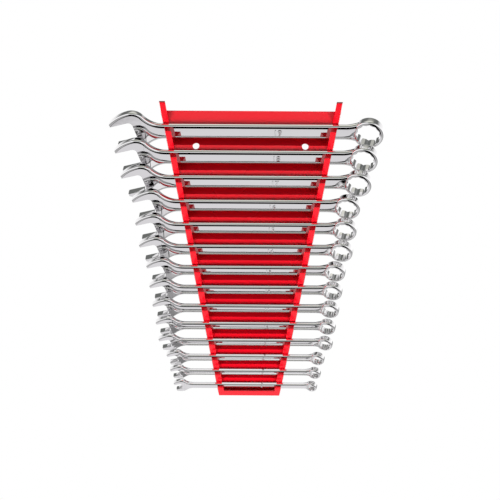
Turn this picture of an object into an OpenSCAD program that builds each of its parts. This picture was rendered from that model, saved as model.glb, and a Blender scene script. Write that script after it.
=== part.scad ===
/* [Wrench lengths] */
// Overall length of the 19 mm wrench
len_19 = 245; // [225:1:260]
// Overall length of the 18 mm wrench
len_18 = 235; // [215:1:250]
// Overall length of the 17 mm wrench
len_17 = 224; // [205:1:240]
// Overall length of the 16 mm wrench
len_16 = 204; // [190:1:225]
// Overall length of the 15 mm wrench
len_15 = 198; // [180:1:215]
// Overall length of the 14 mm wrench
len_14 = 191; // [175:1:205]
// Overall length of the 13 mm wrench
len_13 = 178; // [165:1:195]
// Overall length of the 12 mm wrench
len_12 = 172.5; // [160:0.5:185]
// Overall length of the 11 mm wrench
len_11 = 167; // [150:1:180]
// Overall length of the 10 mm wrench
len_10 = 161; // [145:1:175]
// Overall length of the 9 mm wrench
len_9 = 156; // [140:1:170]
// Overall length of the 8 mm wrench
len_8 = 141.5; // [130:0.5:155]
// Overall length of the 7 mm wrench
len_7 = 135; // [125:1:150]
// Overall length of the 6 mm wrench
len_6 = 128.5; // [115:0.5:140]

/* [Wrench sections: largest and smallest] */
// Shank width of the largest wrench
shank_w_big = 14.4; // [12:0.1:16]
// Shank width of the smallest wrench
shank_w_small = 5.3; // [4.6:0.1:7]
// Shank thickness of the largest wrench
shank_t_big = 6; // [5:0.1:7]
// Shank thickness of the smallest wrench
shank_t_small = 3.3; // [2.8:0.1:3.8]
// Thickness of the largest open head
head_t_big = 8; // [7:0.1:9]
// Thickness of the smallest open head
head_t_small = 4; // [3.8:0.1:4.6]
// Width of the largest open head, square to its jaws
head_d_big = 41; // [38:0.5:44]
// Width of the smallest open head, square to its jaws
head_d_small = 14; // [13:0.5:15]
// Outer diameter of the largest box end
ring_d_big = 27; // [25.5:0.1:29]
// Outer diameter of the smallest box end
ring_d_small = 10; // [9.6:0.1:11]
// Thickness of the largest box end
ring_t_big = 10.8; // [9:0.1:12]
// Thickness of the smallest box end
ring_t_small = 5; // [4.4:0.1:5.4]

/* [Wrench roundings: largest and smallest] */
// Rim bevel of the largest open head
head_edge_big = 1; // [0.6:0.1:1.4]
// Rim bevel of the smallest open head
head_edge_small = 0.5; // [0.3:0.1:0.7]
// Rim radius of the largest box end
ring_edge_big = 1.6; // [0.8:0.1:2]
// Rim radius of the smallest box end
ring_edge_small = 0.7; // [0.4:0.1:0.9]
// Radius of the hollow between the largest open head and its shank
neck_r_big = 34; // [26:1:42]
// Radius of the hollow between the smallest open head and its shank
neck_r_small = 12; // [9:1:16]
// Radius of the hollow between the largest box end and its shank
ring_neck_r_big = 30; // [20:1:40]
// Radius of the hollow between the smallest box end and its shank
ring_neck_r_small = 12; // [8:1:16]
// Depth to which each hollow runs into the forms that it joins
neck_in = 0.5; // [0.3:0.1:0.6]

/* [Wrench proportions: shares of the nut's size] */
// From the nut's middle to the middle of the head's round outline
head_back = 0.42; // [0.38:0.01:0.46]
// From the jaws' middle line to the middle of each lobe behind them
head_lobe = 0.46; // [0.42:0.01:0.5]
// From the nut's middle to the ends of the jaws
jaw_reach = 0.5; // [0.45:0.01:0.55]
// From the nut's middle to the wrench's open end, measured along the shank
jaw_tip = 0.63; // [0.6:0.01:0.66]
// From the nut's middle to the throat
throat_depth = 0.56; // [0.54:0.01:0.6]
// Corner radius of the throat
throat_corner = 0.2; // [0.14:0.01:0.24]
// Distance of the nut's middle below the shank's middle line
nut_low = 0.08; // [0:0.01:0.12]
// Thickness where a neck runs out on the shank, as a share of the shank's
neck_web = 0.1; // [0.06:0.01:0.16]

/* [Wrench angles and jaws] */
// Angle of the jaws to the shank
jaw_angle = 15; // [10:1:20]
// Angle of the box end to the shank
ring_angle = 15; // [8:1:18]
// Clearance of the jaws over the nut's size
jaw_clear = 0.15; // [0.05:0.05:0.4]
// Depth of the lead-in chamfer of the box end
ring_chamfer = 0.6; // [0.3:0.1:0.8]

/* [Rack] */
// Angle of the slots from the wall
tilt = 40; // [36:1:44]
// Distance from the largest wrench's slot to the next one
pitch_big = 22.8; // [22:0.1:25]
// Distance from the second smallest wrench's slot to the last one
pitch_small = 11.9; // [11.4:0.1:13]
// Clearance between a shank and each wall of its slot
slot_clear = 0.2; // [0.1:0.05:0.3]
// Least distance from the largest wrench's open end to the side plate
head_room_big = 47.1; // [46:0.1:52]
// Least distance from the smallest wrench's open end to the side plate
head_room_small = 17.5; // [16:0.1:22]
// Least distance from the largest wrench's box end to the side plate
ring_room_big = 36.5; // [35:0.1:42]
// Least distance from the smallest wrench's box end to the side plate
ring_room_small = 14; // [13:0.1:18]
// Angle of the side plates from upright
taper = 12; // [10:0.5:13]
// Thickness of a side plate, measured level
plate_t = 4.2; // [3:0.1:5]
// Distance from the wall to the inner corner of each slot
slot_stand = 8; // [7.8:0.1:11]
// Distance that each finger ends below its wrench's top edge
finger_drop = 0.4; // [0:0.1:1.5]
// Bevel of the corners of a fingertip
finger_edge = 0.6; // [0.3:0.1:1]
// Reach of the top pair of fingers past the first slot's bottom
top_reach = 34; // [30:0.5:38]
// Thickness of the top pair of fingers
top_finger_t = 3.6; // [3:0.1:4.4]
// Thickness of the bottom pair of fingers
last_finger_t = 2.7; // [2:0.1:4]

/* [Stepped web] */
// Thickness of the web
web_t = 2.4; // [1.6:0.1:2.6]
// Gap between a wrench's back and the web
web_back = 3.4; // [2.5:0.1:3.6]
// Gap between a wrench's lower edge and the web
web_below = 2; // [1:0.1:2.4]
// Reach of the top panel past the first slot's bottom
panel_reach = 24; // [20:0.5:28]
// Length of the lip under the last wrench
lip = 6; // [4:0.5:8]

/* [Mounting holes] */
// Distance of each mounting hole from the side plate beside the first slot
hole_inset = 29.4; // [20:0.1:40]
// Diameter of a mounting hole
hole_d = 6; // [4.5:0.1:6.4]
// Distance of the wrenches' middles left of the rack's middle
wrench_shift = 3; // [0:0.5:5]

/* [Hidden] */
sizes = [for (size = [19:-1:6]) size];
lengths = [
    len_19, len_18, len_17, len_16, len_15, len_14, len_13,
    len_12, len_11, len_10, len_9, len_8, len_7, len_6
];
last = len(sizes) - 1;
$fn = 96;
past = 1;

// Value for wrench i, graded evenly from the largest to the smallest
function graded(i, big, small) = big + (small - big) * i / last;
function shank_w(i) = graded(i, shank_w_big, shank_w_small);
function shank_t(i) = graded(i, shank_t_big, shank_t_small);
function slot_w(i) = shank_t(i) + 2 * slot_clear;
function pitch(i) = pitch_big + (pitch_small - pitch_big) * i / (last - 1);

// Side view of the rack as [y, z]: the wall is y = 0 and the front is -y. The finished
// nodes are moved so that the origin lies in the web, midway between the mounting holes.
// A slot's own frame has out, square to the wrench's face, and up, along the slot.
function drop_to(i) = i == 0 ? 0 : drop_to(i - 1) + pitch(i - 1);
function seat(i) = [-slot_stand, pitch(0) * pow(sin(tilt), 2) - drop_to(i)];
function from_seat(i, out, up) = seat(i) + [
    -out * cos(tilt) - up * sin(tilt),
    up * cos(tilt) - out * sin(tilt)
];
function step_out(i) = pitch(i) * sin(tilt);
function step_up(i) = pitch(i) * cos(tilt);
web_edge = from_seat(0, step_out(0) - web_back - web_t / 2, -web_below - web_t / 2);

// Thickness of the finger behind slot i; the one numbered last + 1 stands before the last slot
function finger_t(i) =
    i == 0 ? top_finger_t : i > last ? last_finger_t : step_out(i - 1) - slot_w(i - 1);

// The rack is as wide as the wrench with the least room lets it be
function slot_top(i) = from_seat(i, 0, shank_w(i))[1];
function room(i) = lengths[i] / 2 + min(
    wrench_shift - graded(i, head_room_big, head_room_small),
    -wrench_shift - graded(i, ring_room_big, ring_room_small)
);
half_w = min([for (i = [0:last]) room(i) + (slot_top(0) - slot_top(i)) * tan(taper)]);
function half_w_at(z) = half_w + (z - slot_top(0)) * tan(taper);

hole_x = half_w - hole_inset;
lip_out = slot_w(last) + last_finger_t;
wall_top = from_seat(0, -web_back, panel_reach)[1];
wall_bottom = from_seat(last, lip_out, -lip)[1];
rack_depth = -from_seat(0, slot_w(0) + step_out(0), top_reach)[0];

module slot_frame(i) {
    translate(seat(i)) rotate(tilt) mirror([1, 0]) children();
}

module block(from, to) {
    translate(from) square(to - from);
}

// Finger with two bevelled corners at its tip, rooted below the bottom of its slot
module finger(inner, outer, up) {
    polygon([
        [inner, -past], [inner, up - finger_edge], [inner + finger_edge, up],
        [outer - finger_edge, up], [outer, up - finger_edge], [outer, -past]
    ]);
}

// Side plate seen from the side: a back strip, and a finger between each two slots
module plate_side() {
    slot_bottoms = [for (i = [0:last]) each [
        from_seat(i, -finger_t(i) / 2, 0),
        from_seat(i, slot_w(i) + finger_t(i + 1) / 2, 0)
    ]];
    polygon(concat(
        [[0, wall_bottom], [0, wall_top], from_seat(0, -web_back, panel_reach)],
        slot_bottoms,
        [from_seat(last, lip_out - last_finger_t / 2, -lip)]
    ));
    slot_frame(0) finger(-top_finger_t, 0, top_reach);
    for (i = [1:last]) {
        behind = i - 1;
        slot_frame(i)
            finger(-finger_t(i), 0, step_up(behind) + shank_w(behind) - finger_drop);
    }
    slot_frame(last) {
        finger(slot_w(last), lip_out, shank_w(last) - finger_drop);
        block([slot_w(last), -lip], [lip_out, 0]);
    }
}

// Web seen from the side: a riser behind each wrench, a tread under it and a lip below
module web_side() {
    front = [for (i = [0:last]) each [
        from_seat(i, -web_back, -web_below),
        from_seat(i, i == last ? lip_out : step_out(i) - web_back, -web_below)
    ]];
    back = [for (i = [last:-1:0]) each [
        from_seat(i, (i == last ? lip_out : step_out(i) - web_back) - web_t, -web_below - web_t),
        from_seat(i, -web_back - web_t, -web_below - web_t)
    ]];
    polygon(concat(
        [from_seat(0, -web_back - web_t, panel_reach), from_seat(0, -web_back, panel_reach)],
        front,
        [from_seat(last, lip_out, -lip), from_seat(last, lip_out - web_t, -lip)],
        back
    ));
}

// Solid of a side view across the rack's whole width
module across() {
    rotate([90, 0, 90]) linear_extrude(2 * half_w + rack_depth, center = true) children();
}

// Solid of a front view as [x, z] through the rack's whole depth
module deep() {
    translate([0, past, 0]) rotate([90, 0, 0]) linear_extrude(2 * rack_depth) children();
}

// Front view between two slanting lines, each set in from the rack's outer face
module slanted(inset) {
    top = from_seat(0, 0, top_reach)[1] + past;
    bottom = wall_bottom - past;
    polygon([
        [inset - half_w_at(top), top], [half_w_at(top) - inset, top],
        [half_w_at(bottom) - inset, bottom], [inset - half_w_at(bottom), bottom]
    ]);
}

module side_plates() {
    intersection() {
        across() plate_side();
        deep() difference() {
            slanted(0);
            slanted(plate_t);
        }
    }
}

module web() {
    intersection() {
        across() web_side();
        deep() slanted(plate_t / 2);
    }
}

module rack() {
    color("crimson") translate([0, -web_edge[0], 0]) difference() {
        union() {
            side_plates();
            web();
        }
        for (x = [-hole_x, hole_x])
            translate([x, past, 0]) rotate([90, 0, 0]) cylinder(h = rack_depth, d = hole_d);
    }
}

// Disc with rounded rims, lying across its middle
module puck(r, t, edge) {
    rotate_extrude() {
        block([0, -t / 2], [r - edge, t / 2]);
        block([0, edge - t / 2], [r, t / 2 - edge]);
        for (z = [edge - t / 2, t / 2 - edge])
            translate([r - edge, z]) circle(edge);
    }
}

// Solid of a plan view, thinned to a side view as [x, z]
module pressed(width, height) {
    intersection() {
        linear_extrude(height, center = true) children(0);
        rotate([90, 0, 0]) linear_extrude(width, center = true) children(1);
    }
}

// Side view of a neck as [x, z]: full height from x0 to x1, thinner on to x2
module ramp(x0, x1, x2, from, to, web) {
    polygon([[x0, from], [x1, from], [x2, -web], [x2, web], [x1, to], [x0, to]]);
}

// Middle of the hollow curve between a round end, [x, y, radius], and the shank.
// up is 1 above the shank and -1 below it, and side says where the shank lies.
function neck_centre(end, half, r, up, side) = [
    end[0] + side * sqrt(pow(end[2] + r, 2) - pow(half + r - up * end[1], 2)),
    up * (half + r)
];

module neck_plan(root, upper, lower, half, r, side) {
    c_up = neck_centre(upper, half, r, 1, side);
    c_down = neck_centre(lower, half, r, -1, side);
    difference() {
        polygon([root, c_up, c_down]);
        for (c = [c_up, c_down]) translate(c) circle(r, $fn = 360);
    }
}

// Head outline in the jaws' own frame: half a disc, with a round lobe behind each half
module head_plan(head_r, back, lobe, reach) {
    intersection() {
        translate([back, 0]) circle(head_r, $fn = 180);
        block([-reach, -head_r], [back, head_r]);
    }
    intersection() {
        for (y = [-lobe, lobe]) translate([back, y]) circle(head_r - lobe, $fn = 180);
        block([back, -head_r], [back + head_r, head_r]);
    }
}

module open_end(i, nut_at) {
    size = sizes[i];
    head_t = graded(i, head_t_big, head_t_small);
    head_r = graded(i, head_d_big, head_d_small) / 2;
    bevel = graded(i, head_edge_big, head_edge_small);
    back = head_back * size;
    lobe = head_lobe * size;
    half = shank_w(i) / 2 - neck_in;
    neck_r = graded(i, neck_r_big, neck_r_small);
    c = cos(jaw_angle);
    s = sin(jaw_angle);
    lobe_r = head_r - lobe - neck_in;
    upper = [nut_at[0] + back * c - lobe * s, nut_at[1] + back * s + lobe * c, lobe_r];
    lower = [nut_at[0] + back * c + lobe * s, nut_at[1] + back * s - lobe * c, lobe_r];
    neck_end = max(
        neck_centre(upper, half, neck_r, 1, 1)[0],
        neck_centre(lower, half, neck_r, -1, 1)[0]
    );
    lobes_end = lower[0] + lobe_r / 2;
    difference() {
        pressed(3 * head_r, 2 * head_t) {
            union() {
                translate(nut_at) rotate(jaw_angle)
                    head_plan(head_r, back, lobe, jaw_reach * size);
                neck_plan([nut_at[0], nut_at[1]], upper, lower, half, neck_r, 1);
            }
            ramp(
                nut_at[0] - size, lobes_end, neck_end,
                -head_t / 2, head_t / 2, neck_web * shank_t(i)
            );
        }
        translate(nut_at) rotate(jaw_angle) translate([back, 0, 0])
            for (up = [0, 1]) mirror([0, 0, up]) rotate_extrude($fn = 180)
                polygon([
                    [head_r - bevel, head_t / 2 + past],
                    [head_r - bevel, head_t / 2],
                    [head_r + past, head_t / 2 - bevel - past],
                    [head_r + past, head_t / 2 + past]
                ]);
    }
}

// Room that the jaws leave for a nut, with rounded corners at its throat
module jaw_room(i) {
    size = sizes[i];
    gap = size + jaw_clear;
    throat_r = throat_corner * size;
    throat = throat_depth * size;
    linear_extrude(2 * head_t_big, center = true) {
        block([-size, -gap / 2], [throat - throat_r, gap / 2]);
        block([-size, throat_r - gap / 2], [throat, gap / 2 - throat_r]);
        for (y = [throat_r - gap / 2, gap / 2 - throat_r])
            translate([throat - throat_r, y]) circle(throat_r);
    }
}

module shank(i, from, to) {
    w = shank_w(i);
    t = shank_t(i);
    translate([from, 0, 0]) rotate([90, 0, 90]) linear_extrude(to - from) {
        square([w - t, t], center = true);
        for (x = [(t - w) / 2, (w - t) / 2]) translate([x, 0]) circle(d = t);
    }
}

module box_end(i, at, ring_r, ring_t) {
    t = shank_t(i);
    half = shank_w(i) / 2 - neck_in;
    neck_r = graded(i, ring_neck_r_big, ring_neck_r_small);
    near = at[0] - ring_r * cos(ring_angle);
    rim = [at[0], 0, ring_r - neck_in];
    neck_start = neck_centre(rim, half, neck_r, 1, -1)[0];
    high = t / 2 - neck_in;
    low = (ring_t / 2 - at[2] + t / 2) / 2;
    translate(at) rotate([0, -ring_angle, 0])
        puck(ring_r, ring_t, graded(i, ring_edge_big, ring_edge_small));
    pressed(3 * ring_r, 2 * ring_t) {
        neck_plan([at[0], 0], rim, rim, half, neck_r, -1);
        ramp(at[0], near, neck_start, -low, high, neck_web * t);
    }
}

// Twelve-point hole: two hexagons turned by 30 degrees, chamfered at both mouths
module twelve_point(size, ring_t) {
    corner_r = size / 2 / cos(30);
    linear_extrude(2 * ring_t, center = true)
        for (turn = [0, 30]) rotate(turn) circle(corner_r, $fn = 6);
    for (up = [0, 1]) mirror([0, 0, up]) translate([0, 0, ring_t / 2 - ring_chamfer])
        cylinder(h = 2 * ring_chamfer, r1 = size / 2, r2 = corner_r + ring_chamfer);
}

module wrench(i) {
    size = sizes[i];
    ring_r = graded(i, ring_d_big, ring_d_small) / 2;
    ring_t = graded(i, ring_t_big, ring_t_small);
    nut_at = [jaw_tip * size - lengths[i] / 2, -nut_low * size, 0];
    ring_at = [
        lengths[i] / 2 - ring_r * cos(ring_angle) - ring_t / 4 * sin(ring_angle),
        0,
        shank_t(i) / 2 + ring_r * sin(ring_angle) - ring_t / 2 * cos(ring_angle)
    ];
    color("silver")
        translate([-wrench_shift, seat(i)[0] - web_edge[0], seat(i)[1]])
        rotate([90 + tilt, 0, 0])
        translate([0, shank_w(i) / 2 + slot_clear, shank_t(i) / 2 + slot_clear])
        difference() {
            union() {
                open_end(i, nut_at);
                shank(i, nut_at[0] + head_back * size, ring_at[0] - size / 2);
                box_end(i, ring_at, ring_r, ring_t);
            }
            translate(nut_at) rotate(jaw_angle) jaw_room(i);
            translate(ring_at) rotate([0, -ring_angle, 0]) twelve_point(size, ring_t);
        }
}

rack();
for (i = [0:last])
    wrench(i);
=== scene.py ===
"""Set of fourteen graded combination wrenches in a tapered, stepped plastic rack."""

import math

import bmesh
import bpy
from mathutils import Matrix, Vector


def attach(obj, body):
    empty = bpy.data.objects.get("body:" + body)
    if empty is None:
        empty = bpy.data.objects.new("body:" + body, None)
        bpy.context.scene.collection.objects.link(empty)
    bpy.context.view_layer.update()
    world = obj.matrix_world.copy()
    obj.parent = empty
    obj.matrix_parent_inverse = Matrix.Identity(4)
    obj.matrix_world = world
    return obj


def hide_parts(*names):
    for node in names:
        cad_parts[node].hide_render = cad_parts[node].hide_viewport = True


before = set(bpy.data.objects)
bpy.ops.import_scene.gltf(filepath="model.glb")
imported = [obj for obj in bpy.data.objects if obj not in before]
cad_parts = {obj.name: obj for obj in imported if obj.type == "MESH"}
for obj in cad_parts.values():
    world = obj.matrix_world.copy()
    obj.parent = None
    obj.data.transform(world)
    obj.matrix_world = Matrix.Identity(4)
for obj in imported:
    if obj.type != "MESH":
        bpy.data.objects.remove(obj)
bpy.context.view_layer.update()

bl_info = {
    "name": "Wrench set with rack",
    "version": (1, 0, 0),
    "blender": (4, 5, 0),
    "location": "View3D > Sidebar > Wrench set",
    "description": "Builds polished combination wrenches in a moulded plastic rack",
    "category": "Object",
}

MM = 0.001
TINY = MM * 0.01
# Nut sizes and lengths of the wrenches in millimetres, from the top of the rack down
SIZES = range(19, 5, -1)
LENGTHS = (245, 235, 224, 204, 198, 191, 178, 172.5, 167, 161, 156, 141.5, 135, 128.5)
LAST = len(LENGTHS) - 1
# Points of a box end's hole
POINTS = 12
# Fineness of round forms, of roundings, and of the necks where the thickness changes
ROUND_SIDES = 96
HOLE_SIDES = 48
ARC_STEP = math.radians(5)
RIM_STEPS = 6
RING_STEPS = 5
EDGE_STEPS = 2
TIP_TURNS = tuple(math.radians(turn) for turn in (0, 30, 60, 90))
HEAD_CUTS = 14
RING_CUTS = 8
# Angles between faces: flat enough to join, sharp enough to round, sharp when shaded
FLAT_ANGLE = math.radians(1)
SHARP_ANGLE = math.radians(20)
CREASE_ANGLE = math.radians(32)
# A face whose normal rises less than this is a wall
WALL_RISE = 0.3
# A mouth's chamfer starts inside the flats and ends outside the points, in its depths
CHAMFER_IN = 0.2
CHAMFER_OUT = 0.9


def length_property(name, text, millimetres):
    """Length in metres that is given in millimetres."""
    return bpy.props.FloatProperty(
        name=name, description=text, default=millimetres * MM,
        unit="LENGTH", precision=4, min=0.0,
    )


def pair_property(name, text, big, small):
    """Lengths of the largest and of the smallest wrench, given in millimetres."""
    return bpy.props.FloatVectorProperty(
        name=name, description=text, size=2, default=(big * MM, small * MM),
        unit="LENGTH", precision=4, min=0.0,
    )


def share_property(name, text, value):
    """Share of another size."""
    return bpy.props.FloatProperty(
        name=name, description=text, default=value, min=0.0, max=2.0
    )


def angle_property(name, text, degrees):
    """Angle that is given in degrees."""
    return bpy.props.FloatProperty(
        name=name, description=text, default=math.radians(degrees), subtype="ANGLE"
    )


def linear(channel):
    """Linear value of one sRGB channel."""
    return channel / 12.92 if channel <= 0.04045 else ((channel + 0.055) / 1.055) ** 2.4


def colour(hex_code):
    """Linear colour with alpha of an sRGB hex code."""
    return tuple(
        linear(int(hex_code[k:k + 2], 16) / 255) for k in (1, 3, 5)
    ) + (1.0,)


def colour_property(name, text, hex_code):
    """Colour that is given as an sRGB hex code."""
    return bpy.props.FloatVectorProperty(
        name=name, description=text, size=4, default=colour(hex_code),
        subtype="COLOR", min=0.0, max=1.0,
    )


class WrenchSizes(bpy.types.PropertyGroup):
    """Sizes of the wrenches, graded from the largest to the smallest."""

    shank_w: pair_property("Shank width", "Width of a shank", 14.4, 5.3)
    shank_t: pair_property("Shank thickness", "Thickness of a shank", 6, 3.3)
    head_t: pair_property("Head thickness", "Thickness of an open head", 8, 4)
    head_d: pair_property("Head width", "Width of an open head", 37, 14)
    head_edge: pair_property("Head rim", "Rounding of a head's rim", 2.5, 1.2)
    neck_r: pair_property("Neck hollow", "Hollow between head and shank", 22, 9)
    ring_d: pair_property("Ring width", "Outer diameter of a box end", 27, 10)
    ring_t: pair_property("Ring thickness", "Thickness of a box end", 10.8, 5)
    ring_edge: pair_property("Ring rim", "Rounding of a ring's rim", 2.6, 1.1)
    ring_neck_r: pair_property("Ring hollow", "Hollow between ring and shank", 30, 12)
    shank_edge: pair_property("Shank edge", "Rounding of a shank's edges", 2.94, 0.9)
    jaw_edge: length_property("Jaw edge", "Rounding of the jaws' inner edges", 0.25)
    jaw_clear: length_property("Jaw clearance", "Clearance of the jaws", 0.15)
    head_back: share_property("Head back", "Nut to the head's widest place", 0.53)
    head_lobe: share_property("Head lobe", "Middle line to lobe's middle", 0.28)
    head_bow: share_property("Head bow", "Middle line to the far jaw's arc", 0.88)
    jaw_reach: share_property("Jaw reach", "Nut to the ends of the jaws", 0.5)
    jaw_tip: share_property("Jaw tip", "Nut to the wrench's open end", 0.63)
    throat_depth: share_property("Throat depth", "Nut to the throat", 0.56)
    throat_corner: share_property("Throat corner", "Corner radius of the throat", 0.2)
    nut_low: share_property("Nut drop", "Nut's middle below the shank's", 0.08)
    thin_from: share_property("Thinning", "Lobe's middle to the head's thinning", 0.4)
    shank_end: share_property("Shank end", "Shank's end left of the ring's middle", 0.3)
    rim_end: share_property("Rim end", "Run of the shank's rims into the ring", 0.3)
    ring_flare: share_property("Ring flare", "Flare of the ring neck's back", 0.6)
    ring_chamfer: length_property("Mouth chamfer", "Lead-in of a box end", 0.6)
    number_height: share_property("Number height", "Share of the shank's width", 0.56)
    number_place: share_property("Number place", "Share of the length, off the middle", 0.11)
    number_rise: length_property("Number rise", "Height of the raised numbers", 0.4)
    jaw_angle: angle_property("Jaw angle", "Angle of the jaws to the shank", 15)
    ring_angle: angle_property("Ring angle", "Angle of the box end", 15)


class RackSizes(bpy.types.PropertyGroup):
    """Sizes that place the wrenches in the rack, and the rack's roundings."""

    tilt: angle_property("Slot tilt", "Angle of the slots from the wall", 40)
    pitch: pair_property("Pitch", "Largest and smallest distance of slots", 22.8, 11.9)
    slot_clear: length_property("Slot clearance", "Clearance of a shank", 0.2)
    slot_stand: length_property("Slot stand-off", "Wall to a slot's corner", 8)
    wall: length_property("Wall", "Distance of the wall behind the origin", 13.6461)
    shift: length_property("Shift", "Wrenches' middles left of the rack's", 3)
    head_room: pair_property("Head room", "Open end to the side plate", 47.1, 17.5)
    ring_room: pair_property("Ring room", "Box end to the side plate", 36.5, 14)
    taper: angle_property("Taper", "Angle of the side plates from upright", 12)
    lean: angle_property("Lean", "Side plates' lean towards each other in front", 6)
    plate_t: length_property("Plate thickness", "Thickness of a side plate", 5.2)
    finger_drop: length_property("Finger drop", "Fingertip below the shank", 0.4)
    top_reach: length_property("Top reach", "Reach of the top fingers", 34)
    top_finger: length_property("Top finger", "Thickness of the top fingers", 3.6)
    last_finger: length_property("Last finger", "Thickness of the last ones", 2.7)
    tip_edge: length_property("Tip rounding", "Radius of a fingertip", 0.9)
    web_t: length_property("Web thickness", "Measured square to the wall", 2.6)
    web_back: length_property("Web gap", "Wrench's back to the web", 3.4)
    riser_gap: length_property("Riser gap", "Wrench's back to a riser's foot", 1)
    web_below: length_property("Tread gap", "Wrench's lower edge to the web", 2.2)
    panel_top: length_property("Panel top", "Panel's edge over the holes", 31.4)
    lip: length_property("Lip", "Length of the lip under the last wrench", 6)
    hole_x: length_property("Hole distance", "Middle line to a hole", 49)
    hole_d: length_property("Hole width", "Diameter of a mounting hole", 6)
    edge: length_property("Edge rounding", "Radius of the moulded edges", 0.45)


class Finishes(bpy.types.PropertyGroup):
    """Colours of the materials."""

    chrome: colour_property("Chrome", "Reflected colour of the plating", "#E2E1E2")
    red: colour_property("Rack", "Moulded plastic", "#DC0A1E")
    floor: colour_property("Floor", "Pale floor", "#F4F4F4")


class StageSizes(bpy.types.PropertyGroup):
    """Camera, floor and lamps."""

    distance: length_property("Camera distance", "From the wall plane", 665)
    height: length_property("Camera height", "Below the mounting holes", 93.2)
    lens: bpy.props.FloatProperty(
        name="Lens", description="Focal length in mm", default=52.2, min=1.0
    )
    light: bpy.props.FloatProperty(
        name="Studio light", description="Strength of the bands in reflections",
        default=1.4, min=0.0,
    )
    soft_light: bpy.props.FloatProperty(
        name="Soft light", description="Strength of the bands on matt surfaces",
        default=0.35, min=0.0,
    )
    roll: angle_property("Camera roll", "Turn about the line of sight", 0.35)
    floor_drop: length_property("Floor drop", "Floor below the mounting holes", 420)


def graded(pair, number):
    """Value for one wrench between those of the largest and the smallest, in metres."""
    return pair[0] + (pair[1] - pair[0]) * number / LAST


# Materials


def add_node(tree, kind, settings=None, links=None):
    """Adds a node with its settings and the links into its inputs."""
    node = tree.nodes.new(kind)
    for key, value in (settings or {}).items():
        if isinstance(key, int) or key in node.inputs:
            node.inputs[key].default_value = value
        else:
            setattr(node, key, value)
    for key, source in (links or {}).items():
        tree.links.new(source, node.inputs[key])
    return node


def new_material(name):
    """New material with an empty node tree, and that tree."""
    material = bpy.data.materials.new(name)
    material.use_nodes = True
    material.node_tree.nodes.clear()
    return material, material.node_tree


def polished_chrome():
    """Chrome plating on forged steel, buffed to a mirror.

    The buffing leaves a faint haze in patches of 11 mm and a very slight waviness
    of 6 mm, so long reflections waver a little and soften here and there.
    """
    material, tree = new_material("polished_chrome_plating")
    place = add_node(tree, "ShaderNodeTexCoord").outputs["Object"]
    haze = add_node(
        tree, "ShaderNodeTexNoise", {"Scale": 1 / (11.1 * MM), "Detail": 3.0},
        {"Vector": place},
    )
    rough = add_node(
        tree, "ShaderNodeMapRange",
        {"From Min": 0.35, "From Max": 0.7, "To Min": 0.02, "To Max": 0.05},
        {"Value": haze.outputs["Fac"]},
    )
    wave = add_node(
        tree, "ShaderNodeTexNoise", {"Scale": 1 / (6.25 * MM), "Detail": 1.0},
        {"Vector": place},
    )
    bump = add_node(
        tree, "ShaderNodeBump", {"Strength": 0.05, "Distance": 0.4 * MM},
        {"Height": wave.outputs["Fac"]},
    )
    shader = add_node(
        tree, "ShaderNodeBsdfPrincipled",
        {"Base Color": bpy.context.scene.finishes.chrome, "Metallic": 1.0},
        {"Roughness": rough.outputs["Result"], "Normal": bump.outputs["Normal"]},
    )
    add_node(tree, "ShaderNodeOutputMaterial", links={"Surface": shader.outputs["BSDF"]})
    return material


def moulded_plastic():
    """Glossy injection-moulded polypropylene, coloured through.

    The mould's spark texture of 0.4 mm breaks up its highlights, and the resin's
    flow leaves clouds of 40 mm that differ in depth of colour and in gloss.
    """
    material, tree = new_material("moulded_red_plastic")
    place = add_node(tree, "ShaderNodeTexCoord").outputs["Object"]
    cloud = add_node(
        tree, "ShaderNodeTexNoise", {"Scale": 1 / (40 * MM), "Detail": 0.0},
        {"Vector": place},
    )
    red = bpy.context.scene.finishes.red
    deeper = tuple(channel * 0.9 for channel in red[:3]) + (1.0,)
    tint = add_node(
        tree, "ShaderNodeMix", {"data_type": "RGBA", 6: deeper, 7: red},
        {0: cloud.outputs["Fac"]},
    )
    grain = add_node(
        tree, "ShaderNodeTexNoise", {"Scale": 1 / (0.4 * MM), "Detail": 2.0},
        {"Vector": place},
    )
    bump = add_node(
        tree, "ShaderNodeBump", {"Strength": 0.12, "Distance": 0.1 * MM},
        {"Height": grain.outputs["Fac"]},
    )
    gloss = add_node(
        tree, "ShaderNodeMapRange",
        {"From Min": 0.3, "From Max": 0.7, "To Min": 0.24, "To Max": 0.28},
        {"Value": cloud.outputs["Fac"]},
    )
    shader = add_node(
        tree, "ShaderNodeBsdfPrincipled", {"IOR": 1.49},
        {
            "Base Color": tint.outputs[2],
            "Roughness": gloss.outputs["Result"],
            "Normal": bump.outputs["Normal"],
        },
    )
    add_node(tree, "ShaderNodeOutputMaterial", links={"Surface": shader.outputs["BSDF"]})
    return material


# Mesh helpers


def new_object(bm, name):
    """Makes an object of a bmesh and frees it."""
    mesh = bpy.data.meshes.new(name)
    bm.to_mesh(mesh)
    bm.free()
    thing = bpy.data.objects.new(name, mesh)
    bpy.context.scene.collection.objects.link(thing)
    return thing


def add_modifier(thing, kind, **settings):
    """Adds a modifier with its settings."""
    modifier = thing.modifiers.new(kind.title(), kind)
    for key, value in settings.items():
        setattr(modifier, key, value)
    return modifier


def combine(thing, solids):
    """Adds solids to an object or cuts them out; each is a bmesh and its operation."""
    helpers = []
    for bm, operation in solids:
        helper = new_object(bm, "helper")
        add_modifier(
            thing, "BOOLEAN", object=helper, operation=operation, solver="MANIFOLD"
        )
        helpers.append(helper)
    bpy.context.view_layer.update()
    graph = bpy.context.evaluated_depsgraph_get()
    mesh = bpy.data.meshes.new_from_object(thing.evaluated_get(graph), depsgraph=graph)
    thing.modifiers.clear()
    thing.data = mesh
    for helper in helpers:
        bpy.data.objects.remove(helper)


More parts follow.
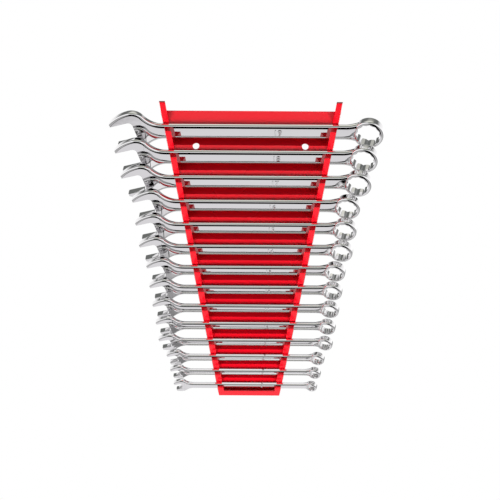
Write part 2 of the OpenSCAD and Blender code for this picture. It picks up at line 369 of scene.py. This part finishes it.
def finish_piece(thing, material, node):
    """Gives a piece its material and shading, hangs it on the root body and hides the CAD
    part that it replaces.
    """
    mesh = thing.data
    mesh.materials.clear()
    mesh.materials.append(material)
    for polygon in mesh.polygons:
        polygon.material_index = 0
        polygon.use_smooth = True
    mesh.set_sharp_from_angle(angle=CREASE_ANGLE)
    add_modifier(thing, "WEIGHTED_NORMAL", keep_sharp=True)
    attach(thing, "root")
    if node:
        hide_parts(node)


class Pen:
    """Draws lines and arcs in the plane z = 0, each from the end of the last one."""

    def __init__(self, bm, start):
        self.bm = bm
        self.first = self.last = bm.verts.new((*start, 0))

    def line(self, point):
        """Draws a straight line to a point."""
        end = self.bm.verts.new((*point, 0))
        self.bm.edges.new((self.last, end))
        self.last = end

    def arc(self, centre, towards, clockwise=False):
        """Draws an arc about a centre until it faces a point."""
        start = math.atan2(self.last.co.y - centre[1], self.last.co.x - centre[0])
        angle = math.atan2(towards[1] - centre[1], towards[0] - centre[0]) - start
        if clockwise and angle > 0:
            angle -= 2 * math.pi
        elif not clockwise and angle < 0:
            angle += 2 * math.pi
        made = bmesh.ops.spin(
            self.bm, geom=[self.last], cent=(*centre, 0), axis=(0, 0, 1), angle=angle,
            steps=max(2, round(abs(angle) / ARC_STEP)), use_duplicate=False,
        )
        self.last = next(v for v in made["geom_last"] if isinstance(v, bmesh.types.BMVert))

    def close(self):
        """Closes the outline and fills it with one face."""
        self.bm.edges.new((self.last, self.first))
        bmesh.ops.remove_doubles(self.bm, verts=self.bm.verts, dist=TINY)
        bmesh.ops.contextual_create(self.bm, geom=self.bm.edges)


def eased(value, low, high):
    """0 below low, 1 above high and a smooth curve between."""
    share = min(1.0, max(0.0, (value - low) / (high - low)))
    return share * share * (3 - 2 * share)


# Wrenches


def pitch(number):
    """Distance from one slot to the next, measured along the wall."""
    big, small = bpy.context.scene.rack_sizes.pitch
    return big + (small - big) * number / (LAST - 1)


def from_seat(number, out, up):
    """Point in the side view, as y and z, of one in a slot's own frame."""
    rack = bpy.context.scene.rack_sizes
    cosine, sine = math.cos(rack.tilt), math.sin(rack.tilt)
    height = rack.pitch[0] * sine ** 2 - sum(pitch(k) for k in range(number))
    return Vector((
        rack.wall - rack.slot_stand - out * cosine - up * sine,
        height + up * cosine - out * sine,
    ))


class Wrench:
    """Sizes and key points of one wrench in its own frame, in metres."""

    def __init__(self, number):
        form = bpy.context.scene.wrench_sizes
        self.form = form
        self.number = number
        self.size = SIZES[number] * MM
        self.length = LENGTHS[number] * MM
        for name in ("shank_w", "shank_t", "shank_edge", "head_t", "head_edge",
                     "neck_r", "ring_t", "ring_edge", "ring_neck_r"):
            setattr(self, name, graded(getattr(form, name), number))
        self.half_gap = (self.size + form.jaw_clear) / 2
        self.head_r = graded(form.head_d, number) / 2
        self.ring_r = graded(form.ring_d, number) / 2
        self.nut = Vector((form.jaw_tip * self.size - self.length / 2,
                           -form.nut_low * self.size))
        self.turn = Matrix.Rotation(form.jaw_angle, 2)
        # The raised ring's far end ends the length, and its near end starts at the face
        tilt = form.ring_angle
        self.ring_at = Vector((
            self.length / 2 - self.ring_r * math.cos(tilt)
            - self.ring_t / 4 * math.sin(tilt),
            0,
            self.shank_t / 2 + self.ring_r * math.sin(tilt)
            - self.ring_t / 2 * math.cos(tilt),
        ))

    def from_jaws(self, x, y):
        """Point in the wrench's frame of one in the jaws' frame."""
        return self.nut + self.turn @ Vector((x, y))

    def to_jaws(self, point):
        """Point in the jaws' frame of one in the wrench's frame."""
        return self.turn.transposed() @ (Vector(point[:2]) - self.nut)

    def neck_centre(self, middle, radius, hollow, up, side):
        """Middle of the hollow between a round form and the shank."""
        rise = self.shank_w / 2 + hollow
        along = math.sqrt((radius + hollow) ** 2 - (rise - up * middle[1]) ** 2)
        return Vector((middle[0] + side * along, up * rise))

    def placed(self):
        """Matrix from the wrench's frame to the rack."""
        rack = bpy.context.scene.rack_sizes
        seat = Vector((-rack.shift, *from_seat(self.number, 0, 0)))
        lift = Vector((0, self.shank_w / 2 + rack.slot_clear,
                       self.shank_t / 2 + rack.slot_clear))
        return (Matrix.Translation(seat)
                @ Matrix.Rotation(math.radians(90) + rack.tilt, 4, "X")
                @ Matrix.Translation(lift))


def wrench_outline(bm, w):
    """Fills the outline of head, necks and shank.

    Returns where, along the shank, the head starts to thin, its neck ends and the
    ring's neck starts.
    """
    form = w.form
    half = w.shank_w / 2
    gap = w.half_gap
    reach = form.jaw_reach * w.size
    throat = form.throat_depth * w.size
    corner = form.throat_corner * w.size
    back = form.head_back * w.size
    lobe = form.head_lobe * w.size
    lobe_r = w.head_r - lobe
    bow = form.head_bow * w.size
    tip_y = math.sqrt((w.head_r + bow) ** 2 - (reach + back) ** 2) - bow
    upper, lower = w.from_jaws(back, lobe), w.from_jaws(back, -lobe)
    ring = w.ring_at.to_2d()
    # The neck meets the ring a little inside its rounded rim
    ring_r = w.ring_r - w.ring_edge / 3
    shank_end = ring.x - form.shank_end * w.size

    pen = Pen(bm, w.from_jaws(-reach, gap))
    pen.line(w.from_jaws(-reach, tip_y))
    pen.arc(w.from_jaws(back, -bow), w.from_jaws(back, w.head_r), clockwise=True)
    head_hollow = w.neck_centre(upper, lobe_r, w.neck_r, 1, 1)
    pen.arc(upper, head_hollow, clockwise=True)
    pen.arc(head_hollow, (head_hollow.x, half))

    ring_hollow = w.neck_centre(ring, ring_r, w.ring_neck_r, 1, -1)
    pen.line((ring_hollow.x, half))
    pen.arc(ring_hollow, ring)
    pen.line((shank_end, w.size / 2))
    pen.line((shank_end, -w.size / 2))
    hollow = w.neck_centre(ring, ring_r, w.ring_neck_r, -1, -1)
    pen.line(ring + (hollow - ring).normalized() * ring_r)
    pen.arc(hollow, (hollow.x, -half))

    hollow = w.neck_centre(lower, lobe_r, w.neck_r, -1, 1)
    pen.line((hollow.x, -half))
    pen.arc(hollow, lower)
    pen.arc(lower, w.from_jaws(back, -w.head_r), clockwise=True)
    pen.arc(w.from_jaws(back, bow), w.from_jaws(-reach, -tip_y), clockwise=True)
    pen.line(w.from_jaws(-reach, -gap))
    pen.line(w.from_jaws(throat - corner, -gap))
    pen.arc(w.from_jaws(throat - corner, corner - gap), w.from_jaws(throat, corner - gap))
    pen.line(w.from_jaws(throat, gap - corner))
    pen.arc(w.from_jaws(throat - corner, gap - corner), w.from_jaws(throat - corner, gap))
    pen.close()
    thin_from = lower.x + lobe_r * form.thin_from
    return thin_from, max(head_hollow.x, hollow.x), ring_hollow.x


def rim_radius(w, point, thinned):
    """Rounding of the rim at a point of the outline."""
    jaws = w.to_jaws(point)
    if jaws.x < w.form.throat_depth * w.size + TINY and abs(jaws.y) < w.half_gap + TINY:
        return w.form.jaw_edge
    if jaws.x < TINY - w.form.jaw_reach * w.size:
        return 2 * w.form.jaw_edge
    return w.head_edge + (w.shank_edge - w.head_edge) * thinned


def wrench_body(w):
    """Head, necks and shank as one forging with rounded rims."""
    bm = bmesh.new()
    thin_from, neck_end, ring_neck = wrench_outline(bm, w)
    ring_near = w.ring_at.x - w.ring_r * math.cos(w.form.ring_angle)
    for low, high, count in (
        (thin_from, neck_end, HEAD_CUTS), (ring_neck, ring_near, RING_CUTS),
    ):
        for k in range(count + 1):
            bmesh.ops.bisect_plane(
                bm, geom=bm.verts[:] + bm.edges[:] + bm.faces[:], dist=TINY / 10,
                plane_co=(low + (high - low) * k / count, 0, 0), plane_no=(1, 0, 0),
            )
    bmesh.ops.recalc_face_normals(bm, faces=bm.faces)
    made = bmesh.ops.extrude_face_region(bm, geom=bm.faces[:])
    raised = {part for part in made["geom"] if isinstance(part, bmesh.types.BMVert)}
    ring_back = w.ring_t / 2 - w.ring_at.z
    for vert in bm.verts:
        thinned = eased(vert.co.x, thin_from, neck_end)
        half = (w.head_t + (w.shank_t - w.head_t) * thinned) / 2
        flare = eased(vert.co.x, ring_neck, ring_near) * w.form.ring_flare
        vert.co.z = half if vert in raised else -half - (ring_back - half) * flare
    bmesh.ops.recalc_face_normals(bm, faces=bm.faces)

    weights = bm.edges.layers.float.new("bevel_weight_edge")
    widest = max(w.shank_edge, w.head_edge)
    rim_end = ring_near + w.form.rim_end * w.ring_r
    for edge in bm.edges:
        upright = (edge.verts[0] in raised) != (edge.verts[1] in raised)
        walls = sum(abs(face.normal.z) < WALL_RISE for face in edge.link_faces)
        middle = (edge.verts[0].co + edge.verts[1].co) / 2
        if upright or walls != 1 or middle.x > rim_end:
            continue
        radius = rim_radius(w, middle, eased(middle.x, thin_from, neck_end))
        edge[weights] = min(1.0, radius / widest)
    body = new_object(bm, f"combination_wrench_{SIZES[w.number]}mm")
    add_modifier(
        body, "BEVEL", width=widest, segments=RIM_STEPS, profile=0.5, material=-1,
        limit_method="WEIGHT", offset_type="OFFSET", use_clamp_overlap=False,
    )
    return body


def box_end(w):
    """Round box end with rounded rims, lying about its own middle."""
    bm = bmesh.new()
    bmesh.ops.create_cone(
        bm, cap_ends=True, segments=ROUND_SIDES, radius1=w.ring_r, radius2=w.ring_r,
        depth=w.ring_t,
    )
    rims = [e for e in bm.edges if abs(e.verts[0].co.z - e.verts[1].co.z) < TINY]
    bmesh.ops.bevel(
        bm, geom=rims, offset=w.ring_edge, offset_type="OFFSET", segments=RING_STEPS,
        profile=0.5, affect="EDGES", material=-1, clamp_overlap=False,
    )
    return bm


def twelve_points(w):
    """Cutters for the twelve-point hole and for the chamfers at its two mouths.

    The points are the corners of two hexagons, one turned by half a corner, and the
    valleys are where their sides cross.
    """
    corner = w.size / 2 / math.cos(2 * math.pi / POINTS)
    valley = w.size / 2 / math.cos(math.pi / POINTS)
    hole = bmesh.new()
    made = bmesh.ops.create_circle(
        hole, cap_ends=True, segments=2 * POINTS, radius=corner
    )
    for number, vert in enumerate(made["verts"]):
        if number % 2:
            vert.co.xy *= valley / corner
    bmesh.ops.translate(hole, verts=hole.verts, vec=(0, 0, -w.ring_t))
    made = bmesh.ops.extrude_face_region(hole, geom=hole.faces[:])
    raised = [part for part in made["geom"] if isinstance(part, bmesh.types.BMVert)]
    bmesh.ops.translate(hole, verts=raised, vec=(0, 0, 2 * w.ring_t))
    bmesh.ops.recalc_face_normals(hole, faces=hole.faces)
    cutters = [hole]
    depth = w.form.ring_chamfer
    for side in (1, -1):
        cone = bmesh.new()
        bmesh.ops.create_cone(
            cone, cap_ends=True, segments=ROUND_SIDES, depth=2 * depth,
            radius1=w.size / 2 - depth * CHAMFER_IN, radius2=corner + depth * CHAMFER_OUT,
        )
        bmesh.ops.translate(cone, verts=cone.verts, vec=(0, 0, w.ring_t / 2))
        if side < 0:
            bmesh.ops.rotate(
                cone, verts=cone.verts, matrix=Matrix.Rotation(math.pi, 3, "X")
            )
        cutters.append(cone)
    return cutters


def build_wrench(number, chrome):
    """One combination wrench in its slot."""
    w = Wrench(number)
    body = wrench_body(w)
    ring_place = (Matrix.Translation(w.ring_at)
                  @ Matrix.Rotation(-w.form.ring_angle, 4, "Y"))
    solids = [(box_end(w), "UNION")]
    solids += [(cutter, "DIFFERENCE") for cutter in twelve_points(w)]
    for bm, _ in solids:
        bmesh.ops.transform(bm, matrix=ring_place, verts=bm.verts)
    combine(body, solids)
    body.data.transform(w.placed())
    finish_piece(body, chrome, f"wrench_{SIZES[number]}mm")


def size_numbers():
    """Raised size numbers on the faces of the shanks."""
    form = bpy.context.scene.wrench_sizes
    numbers = bmesh.new()
    for number, size in enumerate(SIZES):
        w = Wrench(number)
        text = bpy.data.curves.new("size_number", "FONT")
        text.body = str(size)
        text.align_x = text.align_y = "CENTER"
        text.size = form.number_height * w.shank_w
        text.extrude = text.bevel_depth = form.number_rise / 2
        text.bevel_resolution = 1
        helper = bpy.data.objects.new("size_number", text)
        bpy.context.scene.collection.objects.link(helper)
        bpy.context.view_layer.update()
        graph = bpy.context.evaluated_depsgraph_get()
        mesh = bpy.data.meshes.new_from_object(helper.evaluated_get(graph))
        spot = Matrix.Translation((form.number_place * w.length, 0, w.shank_t / 2))
        mesh.transform(w.placed() @ spot)
        numbers.from_mesh(mesh)
        bpy.data.objects.remove(helper)
    bmesh.ops.remove_doubles(numbers, verts=numbers.verts, dist=TINY / 10)
    bmesh.ops.recalc_face_normals(numbers, faces=numbers.faces)
    return numbers


# Rack


def slot_width(number):
    """Width of a slot."""
    form = bpy.context.scene.wrench_sizes
    return graded(form.shank_t, number) + 2 * bpy.context.scene.rack_sizes.slot_clear


def half_width():
    """Half of the rack's width at the top of the first slot."""
    rack = bpy.context.scene.rack_sizes
    shank_w = bpy.context.scene.wrench_sizes.shank_w
    rooms = []
    for number in range(LAST + 1):
        room = LENGTHS[number] * MM / 2 + min(
            rack.shift - graded(rack.head_room, number),
            -rack.shift - graded(rack.ring_room, number),
        )
        fall = from_seat(0, 0, shank_w[0]) - from_seat(number, 0, graded(shank_w, number))
        rooms.append(room + fall.y * math.tan(rack.taper))
    return min(rooms)


def finger_tip(number, inner, outer, up):
    """Two rounded corners of a fingertip, from its back to its front."""
    edge = bpy.context.scene.rack_sizes.tip_edge
    points = []
    for centre, start in ((inner + edge, math.pi), (outer - edge, math.pi / 2)):
        for turn in TIP_TURNS:
            out = centre + edge * math.cos(start - turn)
            points.append(from_seat(number, out, up - edge + edge * math.sin(start - turn)))
    return points


def riser(number):
    """Head and foot of the upright riser behind a wrench."""
    rack = bpy.context.scene.rack_sizes
    behind = max(number - 1, 0)
    corner = from_seat(
        number, -rack.web_back, pitch(behind) * math.cos(rack.tilt) - rack.web_below
    )
    fall = (rack.web_back - rack.riser_gap) / math.sin(rack.tilt)
    foot = corner - Vector((0, fall))
    return Vector((corner.x, rack.panel_top)) if number == 0 else corner, foot


def plate_outline():
    """Side plate in the side view: a back strip with a finger between each two slots."""
    rack = bpy.context.scene.rack_sizes
    form = bpy.context.scene.wrench_sizes
    lip_out = slot_width(LAST) + rack.last_finger
    bottom = from_seat(LAST, lip_out, -rack.lip)
    head, _ = riser(0)
    back = from_seat(0, -rack.top_finger, 0)
    meet = (back.x - head.x) / math.sin(rack.tilt)
    points = [Vector((rack.wall, bottom.y)), Vector((rack.wall, head.y)), head,
              from_seat(0, -rack.top_finger, meet)]
    points += finger_tip(0, -rack.top_finger, 0, rack.top_reach)
    for number in range(LAST + 1):
        width = slot_width(number)
        points += [from_seat(number, 0, 0), from_seat(number, width, 0)]
        up = graded(form.shank_w, number) - rack.finger_drop
        if number < LAST:
            outer = pitch(number) * math.sin(rack.tilt)
        else:
            outer = lip_out
        points += finger_tip(number, width, outer, up)
    return points + [bottom]


def web_outline():
    """Stepped web in the side view: upright risers and treads, with a lip below."""
    rack = bpy.context.scene.rack_sizes
    front = []
    for number in range(LAST + 1):
        front += [*riser(number), from_seat(number, -rack.web_back, -rack.web_below)]
    lip_out = slot_width(LAST) + rack.last_finger
    front += [from_seat(LAST, lip_out - rack.last_finger / 2, -rack.web_below),
              from_seat(LAST, lip_out - rack.last_finger / 2, 0),
              from_seat(LAST, lip_out, 0), from_seat(LAST, lip_out, -rack.lip)]
    behind = [point + Vector((rack.web_t, 0)) for point in front[:-3] + front[-1:]]
    return front + behind[::-1]


def sheared_solid(outline, inset=0.0, thickness=None, side=1):
    """Solid of a side view whose ends follow the leaning faces of the side plates.

    It is as thick as a side plate, or without a thickness runs from side to side.
    """
    rack = bpy.context.scene.rack_sizes
    origin = from_seat(0, 0, bpy.context.scene.wrench_sizes.shank_w[0])
    widest = half_width() - inset

    def face_x(y, z):
        """Distance of a side plate's face from the middle line."""
        return (widest + (z - origin.y) * math.tan(rack.taper)
                + (y - origin.x) * math.tan(rack.lean))

    bm = bmesh.new()
    bm.faces.new([bm.verts.new((side * face_x(*point), *point)) for point in outline])
    made = bmesh.ops.extrude_face_region(bm, geom=bm.faces[:])
    for vert in made["geom"]:
        if isinstance(vert, bmesh.types.BMVert):
            x = face_x(vert.co.y, vert.co.z)
            vert.co.x = side * (-x if thickness is None else x - thickness)
    bmesh.ops.recalc_face_normals(bm, faces=bm.faces)
    return bm


def round_edges(thing, radius):
    """Rounds the sharp edges of an object's mesh."""
    bm = bmesh.new()
    bm.from_mesh(thing.data)
    bmesh.ops.remove_doubles(bm, verts=bm.verts, dist=TINY)
    bmesh.ops.dissolve_limit(
        bm, angle_limit=FLAT_ANGLE, verts=bm.verts, edges=bm.edges
    )
    sharp = [e for e in bm.edges if e.is_manifold and e.calc_face_angle(0) > SHARP_ANGLE]
    bmesh.ops.bevel(
        bm, geom=sharp, offset=radius, offset_type="OFFSET", segments=EDGE_STEPS,
        profile=0.5, affect="EDGES", material=-1, clamp_overlap=True,
    )
    bm.to_mesh(thing.data)
    bm.free()


# Stage


# Radius of the floor, and between which distances from its middle it fades out
FLOOR_RADIUS = 0.26
FLOOR_FADE = {"From Min": 0.05, "From Max": 0.25}
# Own light of the floor, so that only the shadow stands out from the white
FLOOR_GLOW = 0.6
# Name, place, width, height and watts of each lamp
LAMPS = (
    ("left_softbox", (-0.7, -0.85, -0.65), 0.5, 0.7, 16),
    ("right_softbox", (0.7, -0.85, -0.65), 0.5, 0.7, 14),
    ("back_softbox", (0.5, 1.1, 0.2), 0.6, 0.6, 16),
)
LAMP_AIM = Vector((0, 0, -0.1))
# Where the side bands take over: to the left and right, and behind the object
SIDE_FADE = {"From Min": 0.22, "From Max": 0.45}
BACK_FADE = {"From Min": 0.1, "From Max": 0.4}
# Sine of the elevation, and the light that comes from there: pale table, dark room,
# white softbox, dim wall and pale ceiling
FRONT_BANDS = (
    (-1.0, "#D2D1D3"), (-0.93, "#CCCBCD"), (-0.905, "#030303"), (0.06, "#030303"),
    (0.11, "#FFFFFF"), (0.24, "#FFFFFF"), (0.38, "#7A807A"), (0.8, "#686E62"),
    (0.9, "#CCCCC0"), (1.0, "#DCDCD4"),
)
SIDE_BANDS = (
    (-1.0, "#D2D1D3"), (-0.9, "#CCCCCC"), (-0.6, "#A4A4A4"), (-0.1, "#848484"),
    (0.1, "#FFFFFF"), (0.55, "#E0E0E0"), (0.72, "#5E605E"), (0.9, "#686A68"),
    (1.0, "#DCDCD4"),
)


def set_ramp(ramp, bands):
    """Sets a colour ramp from bands of light."""
    for k, (sine, hex_code) in enumerate(bands):
        place = (sine + 1) / 2
        stop = ramp.elements[k] if k < 2 else ramp.elements.new(place)
        stop.position = place
        stop.color = colour(hex_code)


# Operators


class WRENCH_OT_wrenches(bpy.types.Operator):
    """Build the graded combination wrenches in their slots"""

    bl_idname = "wrench_set.wrenches"
    bl_label = "Combination wrenches"

    def execute(self, context):
        chrome = polished_chrome()
        for number in range(LAST + 1):
            build_wrench(number, chrome)
        numbers = new_object(size_numbers(), "raised_size_numbers")
        finish_piece(numbers, chrome, None)
        return {"FINISHED"}


class WRENCH_OT_rack(bpy.types.Operator):
    """Build the stepped plastic rack with rounded moulded edges"""

    bl_idname = "wrench_set.rack"
    bl_label = "Stepped rack"

    def execute(self, context):
        rack = context.scene.rack_sizes
        thing = new_object(
            sheared_solid(web_outline(), inset=rack.plate_t / 2), "stepped_rack"
        )
        solids = [
            (sheared_solid(plate_outline(), thickness=rack.plate_t, side=side), "UNION")
            for side in (1, -1)
        ]
        for x in (-rack.hole_x, rack.hole_x):
            drill = bmesh.new()
            bmesh.ops.create_cone(
                drill, cap_ends=True, segments=HOLE_SIDES, depth=4 * rack.wall,
                radius1=rack.hole_d / 2, radius2=rack.hole_d / 2,
                matrix=Matrix.Translation((x, 0, 0))
                @ Matrix.Rotation(math.radians(90), 4, "X"),
            )
            solids.append((drill, "DIFFERENCE"))
        combine(thing, solids)
        round_edges(thing, rack.edge)
        finish_piece(thing, moulded_plastic(), "rack")
        return {"FINISHED"}


class WRENCH_OT_stage(bpy.types.Operator):
    """Set up the floor, the lamps, the background and the camera"""

    bl_idname = "wrench_set.stage"
    bl_label = "Stage"

    def execute(self, context):
        scene = context.scene
        settings = scene.stage_sizes
        wall = scene.rack_sizes.wall
        scene.view_settings.view_transform = "Standard"

        data = bpy.data.cameras.new("camera")
        data.lens = settings.lens
        camera = bpy.data.objects.new("camera", data)
        camera.location = (0, wall - settings.distance, -settings.height)
        camera.rotation_euler = (math.radians(90), -settings.roll, 0)
        scene.collection.objects.link(camera)
        scene.camera = camera

        self.floor(scene, settings)
        self.world(scene, settings)
        for name, place, width, height, watts in LAMPS:
            lamp = bpy.data.lights.new(name, "AREA")
            lamp.shape, lamp.size, lamp.size_y = "RECTANGLE", width, height
            lamp.energy = watts
            thing = bpy.data.objects.new(name, lamp)
            thing.location = place
            thing.visible_glossy = False
            look = LAMP_AIM - Vector(place)
            thing.rotation_euler = look.to_track_quat("-Z", "Y").to_euler()
            scene.collection.objects.link(thing)
        return {"FINISHED"}

    def floor(self, scene, settings):
        """Pale disc that takes the shadow and fades out into the white round it."""
        bm = bmesh.new()
        bmesh.ops.create_circle(
            bm, cap_ends=True, segments=ROUND_SIDES, radius=FLOOR_RADIUS
        )
        bmesh.ops.translate(bm, verts=bm.verts, vec=(0, 0, -settings.floor_drop))
        floor = new_object(bm, "floor")
        # Matt paint, so the floor shows the soft shadow and no highlight
        material, tree = new_material("matt_white_paint")
        pale = add_node(
            tree, "ShaderNodeBsdfPrincipled",
            {
                "Base Color": scene.finishes.floor, "Roughness": 0.7,
                "Emission Color": scene.finishes.floor,
                "Emission Strength": FLOOR_GLOW,
            },
        )
        clear = add_node(tree, "ShaderNodeBsdfTransparent")
        place = add_node(tree, "ShaderNodeTexCoord").outputs["Object"]
        flat = add_node(
            tree, "ShaderNodeVectorMath",
            {"operation": "MULTIPLY", 1: (1, 1, 0)}, {0: place},
        )
        away = add_node(
            tree, "ShaderNodeVectorMath", {"operation": "LENGTH"},
            {0: flat.outputs[0]},
        )
        gone = add_node(
            tree, "ShaderNodeMapRange", {"interpolation_type": "SMOOTHSTEP", **FLOOR_FADE},
            {"Value": away.outputs["Value"]},
        )
        mixed = add_node(
            tree, "ShaderNodeMixShader",
            links={0: gone.outputs["Result"], 1: pale.outputs[0], 2: clear.outputs[0]},
        )
        add_node(tree, "ShaderNodeOutputMaterial", links={"Surface": mixed.outputs[0]})
        floor.data.materials.append(material)
        floor.visible_glossy = False
        floor.visible_diffuse = False

    def world(self, scene, settings):
        """White behind the object, and a studio's light and dark bands round it."""
        world = bpy.data.worlds.new("studio")
        world.use_nodes = True
        tree = world.node_tree
        tree.nodes.clear()
        white = add_node(
            tree, "ShaderNodeBackground", {"Color": (1, 1, 1, 1), "Strength": 1.0}
        )
        way = add_node(tree, "ShaderNodeTexCoord").outputs["Generated"]
        parts = add_node(tree, "ShaderNodeSeparateXYZ", links={0: way})
        rise = add_node(
            tree, "ShaderNodeMapRange", {"From Min": -1.0, "From Max": 1.0},
            {"Value": parts.outputs["Z"]},
        )
        bands = add_node(tree, "ShaderNodeValToRGB", links={"Fac": rise.outputs[0]})
        set_ramp(bands.color_ramp, FRONT_BANDS)
        sides = add_node(tree, "ShaderNodeValToRGB", links={"Fac": rise.outputs[0]})
        set_ramp(sides.color_ramp, SIDE_BANDS)
        across = add_node(
            tree, "ShaderNodeMath", {"operation": "ABSOLUTE"}, {0: parts.outputs["X"]}
        )
        aside = add_node(
            tree, "ShaderNodeMapRange", {"interpolation_type": "SMOOTHSTEP", **SIDE_FADE},
            {"Value": across.outputs[0]},
        )
        behind = add_node(
            tree, "ShaderNodeMapRange", {"interpolation_type": "SMOOTHSTEP", **BACK_FADE},
            {"Value": parts.outputs["Y"]},
        )
        either = add_node(
            tree, "ShaderNodeMath", {"operation": "MAXIMUM"},
            {0: aside.outputs["Result"], 1: behind.outputs["Result"]},
        )
        mixed = add_node(
            tree, "ShaderNodeMix", {"data_type": "RGBA"},
            {0: either.outputs[0], 6: bands.outputs[0], 7: sides.outputs[0]},
        )
        path = add_node(tree, "ShaderNodeLightPath")
        level = add_node(
            tree, "ShaderNodeMapRange",
            {"To Min": settings.soft_light, "To Max": settings.light},
            {"Value": path.outputs["Is Glossy Ray"]},
        )
        light = add_node(
            tree, "ShaderNodeBackground",
            links={"Color": mixed.outputs[2], "Strength": level.outputs[0]},
        )
        shown = add_node(
            tree, "ShaderNodeMixShader",
            links={0: path.outputs["Is Camera Ray"], 1: light.outputs[0],
                   2: white.outputs[0]},
        )
        add_node(tree, "ShaderNodeOutputWorld", links={"Surface": shown.outputs[0]})
        scene.world = world


class WRENCH_PT_panel(bpy.types.Panel):
    """Lists the pieces of the wrench set"""

    bl_idname = "WRENCH_PT_panel"
    bl_label = "Wrench set"
    bl_space_type = "VIEW_3D"
    bl_region_type = "UI"
    bl_category = "Wrench set"

    def draw(self, context):
        for operator in OPERATORS:
            self.layout.operator(operator.bl_idname)


GROUPS = {
    "wrench_sizes": WrenchSizes, "rack_sizes": RackSizes,
    "finishes": Finishes, "stage_sizes": StageSizes,
}
OPERATORS = (WRENCH_OT_wrenches, WRENCH_OT_rack, WRENCH_OT_stage)


def register():
    for kind in (*GROUPS.values(), *OPERATORS, WRENCH_PT_panel):
        bpy.utils.register_class(kind)
    for name, group in GROUPS.items():
        setattr(bpy.types.Scene, name, bpy.props.PointerProperty(type=group))


def unregister():
    for name in GROUPS:
        delattr(bpy.types.Scene, name)
    for kind in reversed((*GROUPS.values(), *OPERATORS, WRENCH_PT_panel)):
        bpy.utils.unregister_class(kind)


def main():
    register()
    bpy.ops.wrench_set.wrenches()
    bpy.ops.wrench_set.rack()
    bpy.ops.wrench_set.stage()


if __name__ == "__main__":
    main()
